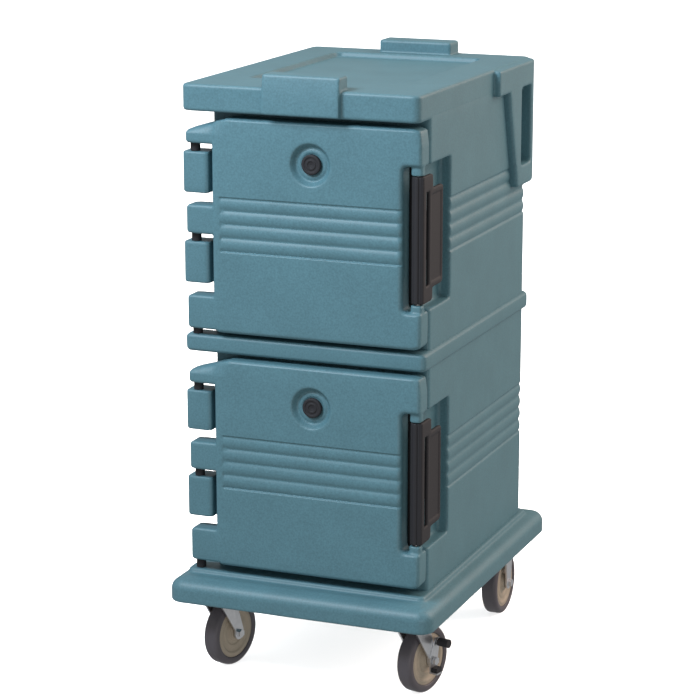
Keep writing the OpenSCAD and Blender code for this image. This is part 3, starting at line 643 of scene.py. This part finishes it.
class CARRIER_OT_cabinet(bpy.types.Operator):
    """Cast the lid, the two compartments, the collar between them and the bumper"""
    bl_idname = "carrier.cabinet"
    bl_label = "Cabinet"

    def execute(self, context):
        skin = rotomoulded_polyethylene()
        middle = sum(COLLAR_Z) / 2
        compartment("upper_cabinet", DOOR_Z["upper"], middle, LID_Z[0] + 8, skin)
        compartment("lower_cabinet", DOOR_Z["lower"], 185, middle, skin)
        handle = (MOUTH_X,) + TUNNEL_X + (HANDLE_OUT,)
        stops = tuple(-at for at in handle) + handle + LID_X + PAD_X
        xs = grid_lines(-252, 252, stops, spans=((-158, -130, 0.56), (128, 156, 0.56)))
        stops = FRONT_PAD_Y + REAR_PAD_Y + (LID_Y[0], -300, STEP_Y, MOUTH_Y)
        ys = grid_lines(-340, 315, stops,
                        spans=((-200, -172, 0.56), (-160, 130, 3.6), (134, 204, 1.4), (208, 236, 0.56)))
        stops = TUNNEL_Z + (GRIP_Z[0], LID_Z[1] - RECESS_DEPTH, LID_Z[1], 1143)
        zs = grid_lines(865, 1150, stops, spans=((1060, 1148, 0.6),))
        cast("lid", lid_shape, (xs, ys, zs), skin, "cabinet", ["body_shell"])
        xs = grid_lines(-252, 245, (KNUCKLE_L, -228, -200, -190, 215, 231))
        ys = grid_lines(-305, 308, KNUCKLE_Y + (282, 296))
        zs = grid_lines(COLLAR_Z[0] - 6, COLLAR_Z[1] + 6, COLLAR_Z, reach=12)
        belt = belt_shape(COLLAR_OUT, KNUCKLE_Y[0], *COLLAR_Z, 9)
        cast("collar", belt, (xs, ys, zs), skin, "cabinet", ["body_shell"])
        half_w, half_d = SHELL_HIGH[0], SHELL_HIGH[1]
        stops = (-half_w, -half_w + 16, -half_w + 34, -240, -202, -186, 218, 233,
                 half_w - 34, half_w - 16, half_w)
        xs = grid_lines(-half_w - 8, half_w + 8, stops)
        stops = (-half_d, -half_d + 16, -half_d + 34, PLINTH_FRONT, KNUCKLE_Y[1], 284, 298,
                 half_d - 34, half_d - 16, half_d)
        ys = grid_lines(-half_d - 8, half_d + 8, stops)
        zs = grid_lines(144, 212, (150, BUMPER_UNDER), spans=((150, 210, 0.9),))
        cast("bumper", bumper_shape, (xs, ys, zs), skin, "cabinet", ["body_shell"])
        return {"FINISHED"}


# ---- Doors ----


def dish(radius, depth):
    """Depth of the round dish under the door's face: a sloped wall, a flat floor and a low ring on it."""
    slope = np.clip((DISH_R - radius) / 11, 0, 1)
    wall = depth * slope * slope * (3 - 2 * slope)
    ring = 2.2 * np.clip(1 - np.abs(radius - 23.5) / 4.5, 0, 1) ** 0.5
    return wall - ring


def door_shape(base):
    """Door: a rounded panel with three hinge arms, a notch for the latch with two lugs, a ribbed band and
    the dish of the vent on its face, and a shallow hollow on its inner face."""

    def shape(p):
        x, y, z = p
        rise = z - base
        front, back = DOOR_LOW[1], DOOR_HIGH[1]
        edge = sizes().door_edge / MM
        ribs = np.where((x > -161) & (x < NOTCH_X + 10), rib_recess(rise, sizes().rib_depth / MM), 0)
        radius = np.hypot(x - VENT_X, rise - VENT_Z)
        recess = ribs + dish(radius, sizes().dish_depth / MM)
        depth = y - np.where(y < -283, recess, 0)
        # The top edge falls away on the hinge side of the shoulder, on the panel and on the top arm
        above, past = rise - DOOR_TALL, x - SHOULDER_X
        panel = rect(x, rise, PANEL_L, WALL_R, 0, DOOR_TALL, 14)
        panel = np.maximum(panel, (above - past * 11 / 30) * 0.94)
        cut = rect(x, rise, NOTCH_X, WALL_R + 60, *NOTCH_Z, 9)
        door = prism(both(panel, -cut, 5), depth, front, back, edge)
        for start, end in ARMS:
            arm = rect(y, rise, front + 2, back - 1, start, end, 6)
            arm = prism(arm, x, *ARM_X, 9)
            if end == DOOR_TALL:
                arm = both(arm, (above - past * 24 / 83) * 0.96, 6)
            door = np.minimum(door, arm)
        lug = rect(x, y, 202, WALL_R - 1, -298, -277, 8)
        for start, end in ((NOTCH_Z[0] - 6, NOTCH_Z[0] + 13), (NOTCH_Z[1] - 16, NOTCH_Z[1] + 6)):
            door = join(door, prism(lug, rise, start, end, 2.5), 2)
        hollow = block((x, y, rise), (CAVITY_X[0] + 4, back - 15.5, CAVITY_Z[0] + 4),
                       (CAVITY_X[1] - 4, back + 40, CAVITY_Z[1] - 4), 10)
        return carve(door, hollow, 4)

    return shape


class CARRIER_OT_doors(bpy.types.Operator):
    """Cast the two doors"""
    bl_idname = "carrier.doors"
    bl_label = "Doors"

    def execute(self, context):
        for door in DOORS:
            base = DOOR_Z[door]
            stops = (ARM_X[0], PANEL_L, -163, -146, 177, NOTCH_X, 204, 225)
            xs = grid_lines(-238, 232, stops, spans=((-28, 60, 0.8),), reach=9)
            ys = grid_lines(-312, -252, (-305,), spans=((-310, -254, 0.8),))
            heights = [at for arm in ARMS for at in arm] + list(NOTCH_Z) + [0.0, 40.0, 80.0, 311.0, 354.0]
            spans = ((base + BAND[0] - 4, base + BAND[0] + BAND[1] * BAND[2] + 4, 0.8),
                     (base + 276, base + 364, 0.8))
            zs = grid_lines(base - 8, base + 402, [base + at for at in heights], spans=spans, reach=9)
            cast(door + "_door_skin", door_shape(base), (xs, ys, zs), rotomoulded_polyethylene(),
                 door + "_door", [door + "_door_shell"])
        return {"FINISHED"}


class CARRIER_OT_gaskets(bpy.types.Operator):
    """Carry the gasket's ribbed profile round each door's inner face"""
    bl_idname = "carrier.gaskets"
    bl_label = "Gaskets"

    def execute(self, context):
        for door in DOORS:
            low, high = box_mm(door + "_gasket")
            middle = (low + high) / 2
            half = (high - low) / 2 - 5
            turn = np.radians(np.arange(0, 360, 7.5))
            # The path is a rounded rectangle, the profile a flattened round with two lips
            corner = 12
            path = np.stack([np.sign(np.cos(turn)) * (half[0] - corner) + corner * np.cos(turn),
                             np.sign(np.sin(turn)) * (half[2] - corner) + corner * np.sin(turn)], axis=1)
            outward = np.stack([np.cos(turn), np.sin(turn)], axis=1)
            round_ = np.radians(np.arange(0, 360, 15))
            wide = 4.6 * np.cos(round_) * (1 + 0.08 * np.cos(4 * round_))
            deep = (high[1] - low[1]) / 2 * np.sin(round_)
            x = middle[0] + path[:, 0, None] + outward[:, 0, None] * wide
            z = middle[2] + path[:, 1, None] + outward[:, 1, None] * wide
            points = np.stack([x, middle[1] + deep[None] + 0 * x, z], axis=-1)
            n, m = len(turn), len(round_)
            i, j = np.meshgrid(np.arange(n), np.arange(m), indexing="ij")
            i2, j2 = (i + 1) % n, (j + 1) % m
            quads = np.stack([i * m + j, i * m + j2, i2 * m + j2, i2 * m + j], axis=-1).reshape(-1, 4)
            place_piece(door + "_gasket_lip", points.reshape(-1, 3), quads, silicone(), door + "_door",
                        [door + "_gasket"])
        return {"FINISHED"}


# ---- Latches and vents ----


def latch_shape(base):
    """Latch: a barrel on the pin with a groove down it, a strip, a windowed side frame and a finger flap
    with a framed face and a hook inside."""

    def shape(p):
        x, y, z = p
        rise = z - base
        inner, outer = PLATE_X
        barrel = prism(np.hypot(x - PIN_X, y - PIN_Y) - 11, rise, *LATCH_Z, 2)
        strip = prism(rect(x, y, PIN_X + 2, outer, PIN_Y - 6, PIN_Y + 8, 2), rise, *LATCH_Z, 2)
        frame_side = rect(y, rise, PIN_Y - 2, -243, *LATCH_Z, 6)
        sheet = np.minimum(frame_side, rect(y, rise, *FLAP_Y, *FLAP_Z, 6))
        window = rect(y, rise, *WINDOW_Y, *WINDOW_Z, 2)
        plate = prism(both(sheet, -window, 1), x, *PLATE_X, 1.5)
        face = prism(rect(y, rise, *FACE_Y, *FACE_Z, 4), x, outer - 2.2, outer + 20, 0.8)
        plate = carve(plate, face, 0.6)
        hook = prism(rect(x, y, inner - 7.5, inner + 3, *HOOK_Y, 2), rise, *HOOK_Z, 2)
        body = np.minimum(np.minimum(barrel, strip), np.minimum(plate, hook))
        for at_x, at_y in ((PIN_X + 4.2, PIN_Y - 10.5), (PIN_X - 4.5, PIN_Y - 10.5)):
            body = carve(body, rect(x, y, at_x - 0.9, at_x + 0.9, at_y - 3, at_y + 3, 0.5), 0.4)
        return body

    return shape


class CARRIER_OT_latches(bpy.types.Operator):
    """Cast the two latch handles"""
    bl_idname = "carrier.latches"
    bl_label = "Latches"

    def execute(self, context):
        for door in DOORS:
            base = DOOR_Z[door]
            xs = grid_lines(200, 229, (PIN_X,), spans=((200, 229, 0.4),))
            stops = FLAP_Y + FACE_Y + (-243, HOOK_Y[0])
            ys = grid_lines(-301, -186, stops, spans=((-300, -274, 0.4),), reach=4)
            heights = LATCH_Z + FLAP_Z + WINDOW_Z + FACE_Z + HOOK_Z
            zs = grid_lines(base + 78, base + 314, [base + at for at in heights], reach=6)
            cast(door + "_latch", latch_shape(base), (xs, ys, zs), black_nylon(), door + "_latch",
                 [door + "_latch_handle"])
        return {"FINISHED"}


class CARRIER_OT_vents(bpy.types.Operator):
    """Turn the two vent caps, with their finger ridges"""
    bl_idname = "carrier.vents"
    bl_label = "Vents"

    def execute(self, context):
        for door in DOORS:
            low, high = box_mm(door + "_vent_cap")
            middle = (low + high) / 2
            top, radius = CAP_TALL, CAP_R
            profile = [(-STEM_LONG, 0.01), (-STEM_LONG, STEM_R), (0, STEM_R), (0, radius - 1)]
            profile += arc(2.2, radius - 1.2, 1.2, 180, 90, 3)[1:]
            profile += [(4.2, radius), (4.6, radius - 0.8), (5.0, radius)]
            profile += arc(top - 2.5, radius - 2.5, 2.5, 90, 0, 4)
            profile += [(top, 13.5), (top - 1.2, 12.8), (top - 1.2, 9.6), (top - 0.2, 9.0), (top - 0.2, 6.4),
                        (top - 1.4, 5.8), (top - 1.4, 0.01)]
            centre = (middle[0], high[1] - STEM_LONG, middle[2])
            turned(door + "_vent_knob", profile, centre, (0, -1, 0), black_nylon(), door + "_vent",
                   [door + "_vent_cap"], steps=72)
        return {"FINISHED"}


# ---- Casters ----


def wheel_profile(half):
    """Wheel centre: a hub, a dished web with three concentric steps, and the rim under the tread."""
    side = [(half, 7.06), (half, 12), (half - 2, 13), (half - 2, 16), (half - 5, 17.5), (half - 6, 24),
            (half - 4.2, 26), (half - 4.2, 31), (half - 5.4, 32), (half - 5.0, 38), (half - 2.2, 40.5),
            (half - 2.0, 44), (half - 3.0, 45), (half - 3.0, 48.9)]
    return side + [(-a, r) for a, r in reversed(side)]


def tread_profile(half, r):
    """Tread: slightly crowned, with round shoulders and a fine seam at each side."""
    shoulder = arc(half - 8, r - 8, 8, 0, 82, 7)
    side = [(half - 2.6, 49.0), (half - 1.0, 50.2), (half - 0.2, 53.5)] + shoulder + [(half - 9, r)]
    return side + [(-a, b) for a, b in reversed(side)]


class CARRIER_OT_wheels(bpy.types.Operator):
    """Turn the four wheel centres and their treads about their spin axes"""
    bl_idname = "carrier.wheels"
    bl_label = "Wheels"

    def execute(self, context):
        corners = {"fl": "front_left", "fr": "front_right", "rl": "rear_left", "rr": "rear_right"}
        for short, corner in corners.items():
            joint = JOINTS[corner + "_spin"]
            centre = np.array(joint["pos_m"]) / MM
            core, tread = wheel_profile(WHEEL_HALF), tread_profile(WHEEL_HALF, TREAD_R)
            turned(corner + "_wheel_core", core, centre, joint["axis"], wheel_nylon(),
                   corner + "_wheel", [short + "_wheel"])
            turned(corner + "_tread", tread, centre, joint["axis"], polyurethane_tread(),
                   corner + "_wheel", [short + "_tyre"])
        return {"FINISHED"}


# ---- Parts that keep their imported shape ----


def finish_node(node, material, edge):
    """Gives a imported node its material, joins its triangles and softens its edges."""
    piece = frame["nodes"][node]
    for index in range(len(piece.material_slots)):
        piece.material_slots[index].material = material
    if edge:
        weld = piece.modifiers.new("join_triangles", "WELD")
        weld.merge_threshold = 0.01 * MM
        bevel = piece.modifiers.new("soft_edges", "BEVEL")
        bevel.width = edge * MM
        bevel.segments = 2
        bevel.limit_method = "ANGLE"
        bevel.angle_limit = math.radians(35)


class CARRIER_OT_hardware(bpy.types.Operator):
    """Finish the hinge pins, keepers, latch pins, fasteners and caster frames"""
    bl_idname = "carrier.hardware"
    bl_label = "Hardware"

    def execute(self, context):
        plated = ["keeper_screws", "caster_inserts", "caster_bolts", "upper_latch_pin", "lower_latch_pin",
                  "fr_brake_lever"]
        for short in ("fl", "fr"):
            plated += [short + part for part in ("_top_plate", "_king_bolt", "_ball_race", "_fork")]
        plated += ["rl_frame", "rr_frame"]
        plated += [short + part for short in ("fl", "fr", "rl", "rr") for part in ("_axle", "_bush")]
        for node in plated:
            finish_node(node, zinc_plated_steel(), 0.6 if "fork" in node or "frame" in node else 0)
        for door in DOORS:
            for part in ("_keeper", "_hinge_pins", "_vent_sleeve"):
                finish_node(door + part, black_nylon(), 0)
            finish_node(door + "_door_foam", silicone(), 0)
        finish_node("fr_brake_pads", black_nylon(), 0.8)
        finish_node("foam_core", silicone(), 0)
        return {"FINISHED"}


# ---- Stage ----


def area_light(name, place, target, size, power, tint):
    """A square soft box aimed at a point."""
    data = bpy.data.lights.new(name, "AREA")
    data.shape = "SQUARE"
    data.size = size
    data.energy = power
    data.color = linear(tint)
    light = bpy.data.objects.new(name, data)
    bpy.context.scene.collection.objects.link(light)
    light.location = place
    light.rotation_euler = (Vector(target) - Vector(place)).to_track_quat("-Z", "Y").to_euler()


class CARRIER_OT_stage(bpy.types.Operator):
    """Lay the studio floor, hang the soft boxes and set up the camera"""
    bl_idname = "carrier.stage"
    bl_label = "Stage"

    def execute(self, context):
        scene = context.scene
        half = FLOOR_HALF
        mesh = bpy.data.meshes.new("studio_floor")
        mesh.from_pydata([(-half, -half, 0), (half, -half, 0), (half, half, 0), (-half, half, 0)], [],
                         [(0, 1, 2, 3)])
        mesh.materials.append(painted_floor())
        floor = bpy.data.objects.new("studio_floor", mesh)
        scene.collection.objects.link(floor)
        # The floor is lit on its own, so that it stays white without glaring into the object's shaded sides
        floor.visible_diffuse = False
        floor.visible_glossy = False
        floor_only = bpy.data.collections.new("floor_only")
        floor_only.objects.link(floor)
        wash = bpy.data.lights.new("floor_wash", "SUN")
        wash.energy = 5.6
        wash.angle = math.radians(120)
        washer = bpy.data.objects.new("floor_wash", wash)
        scene.collection.objects.link(washer)
        washer.light_linking.receiver_collection = floor_only
        washer.light_linking.blocker_collection = floor_only
        area_light("key_box", (-0.9, -1.9, 2.6), (-0.05, -0.3, 1.45), 1.0, 74, "#eaf4ff")
        area_light("side_box", (2.5, 1.9, 2.3), (0.2, 0, 0.5), 3.0, 98, "#ffe6d8")
        area_light("top_box", (0.1, 0.2, 3.6), (0, 0, 1), 2.4, 18, "#ffe6d0")
        area_light("low_box", (1.2, -1.7, 0.2), (0.1, -0.2, 0.07), 0.4, 3.5, "#fff8f2")
        world = bpy.data.worlds.new("studio")
        world.use_nodes = True
        world.node_tree.nodes["Background"].inputs["Color"].default_value = (1, 1, 1, 1)
        world.node_tree.nodes["Background"].inputs["Strength"].default_value = 0.38
        scene.world = world
        scene.view_settings.view_transform = "Standard"
        data = bpy.data.cameras.new("camera")
        data.sensor_width = 36
        data.lens = FOCAL_LENGTH
        data.clip_end = 100
        camera = bpy.data.objects.new("camera", data)
        scene.collection.objects.link(camera)
        level = math.cos(ELEVATION)
        look = Vector((-math.sin(AZIMUTH) * level, math.cos(AZIMUTH) * level, -math.sin(ELEVATION)))
        camera.location = CAMERA_PLACE
        camera.rotation_euler = look.to_track_quat("-Z", "Y").to_euler()
        scene.camera = camera
        return {"FINISHED"}


# ---- Add-on ----

OPERATORS = (CARRIER_OT_cabinet, CARRIER_OT_doors, CARRIER_OT_gaskets, CARRIER_OT_latches,
             CARRIER_OT_vents, CARRIER_OT_wheels, CARRIER_OT_hardware, CARRIER_OT_stage)


class CARRIER_PT_panel(bpy.types.Panel):
    """Shows the carrier's size and colour settings and a button for each building step"""
    bl_label = "Food carrier"
    bl_idname = "CARRIER_PT_panel"
    bl_space_type = "VIEW_3D"
    bl_region_type = "UI"
    bl_category = "Food carrier"

    def draw(self, context):
        for group in (context.scene.carrier_sizes, context.scene.carrier_colours):
            for key in group.__annotations__:
                self.layout.prop(group, key)
        for operator in OPERATORS:
            self.layout.operator(operator.bl_idname)


CLASSES = (CarrierSizes, CarrierColours) + OPERATORS + (CARRIER_PT_panel,)


def register():
    """Adds the classes and the scene's settings."""
    for cls in CLASSES:
        bpy.utils.register_class(cls)
    bpy.types.Scene.carrier_sizes = bpy.props.PointerProperty(type=CarrierSizes)
    bpy.types.Scene.carrier_colours = bpy.props.PointerProperty(type=CarrierColours)


def unregister():
    """Takes the settings and the classes away again."""
    del bpy.types.Scene.carrier_colours
    del bpy.types.Scene.carrier_sizes
    for cls in reversed(CLASSES):
        bpy.utils.unregister_class(cls)


def main():
    """Builds the stage and every piece."""
    register()
    bpy.ops.carrier.stage()
    bpy.ops.carrier.cabinet()
    bpy.ops.carrier.doors()
    bpy.ops.carrier.gaskets()
    bpy.ops.carrier.latches()
    bpy.ops.carrier.vents()
    bpy.ops.carrier.wheels()
    bpy.ops.carrier.hardware()


if __name__ == "__main__":
    main()
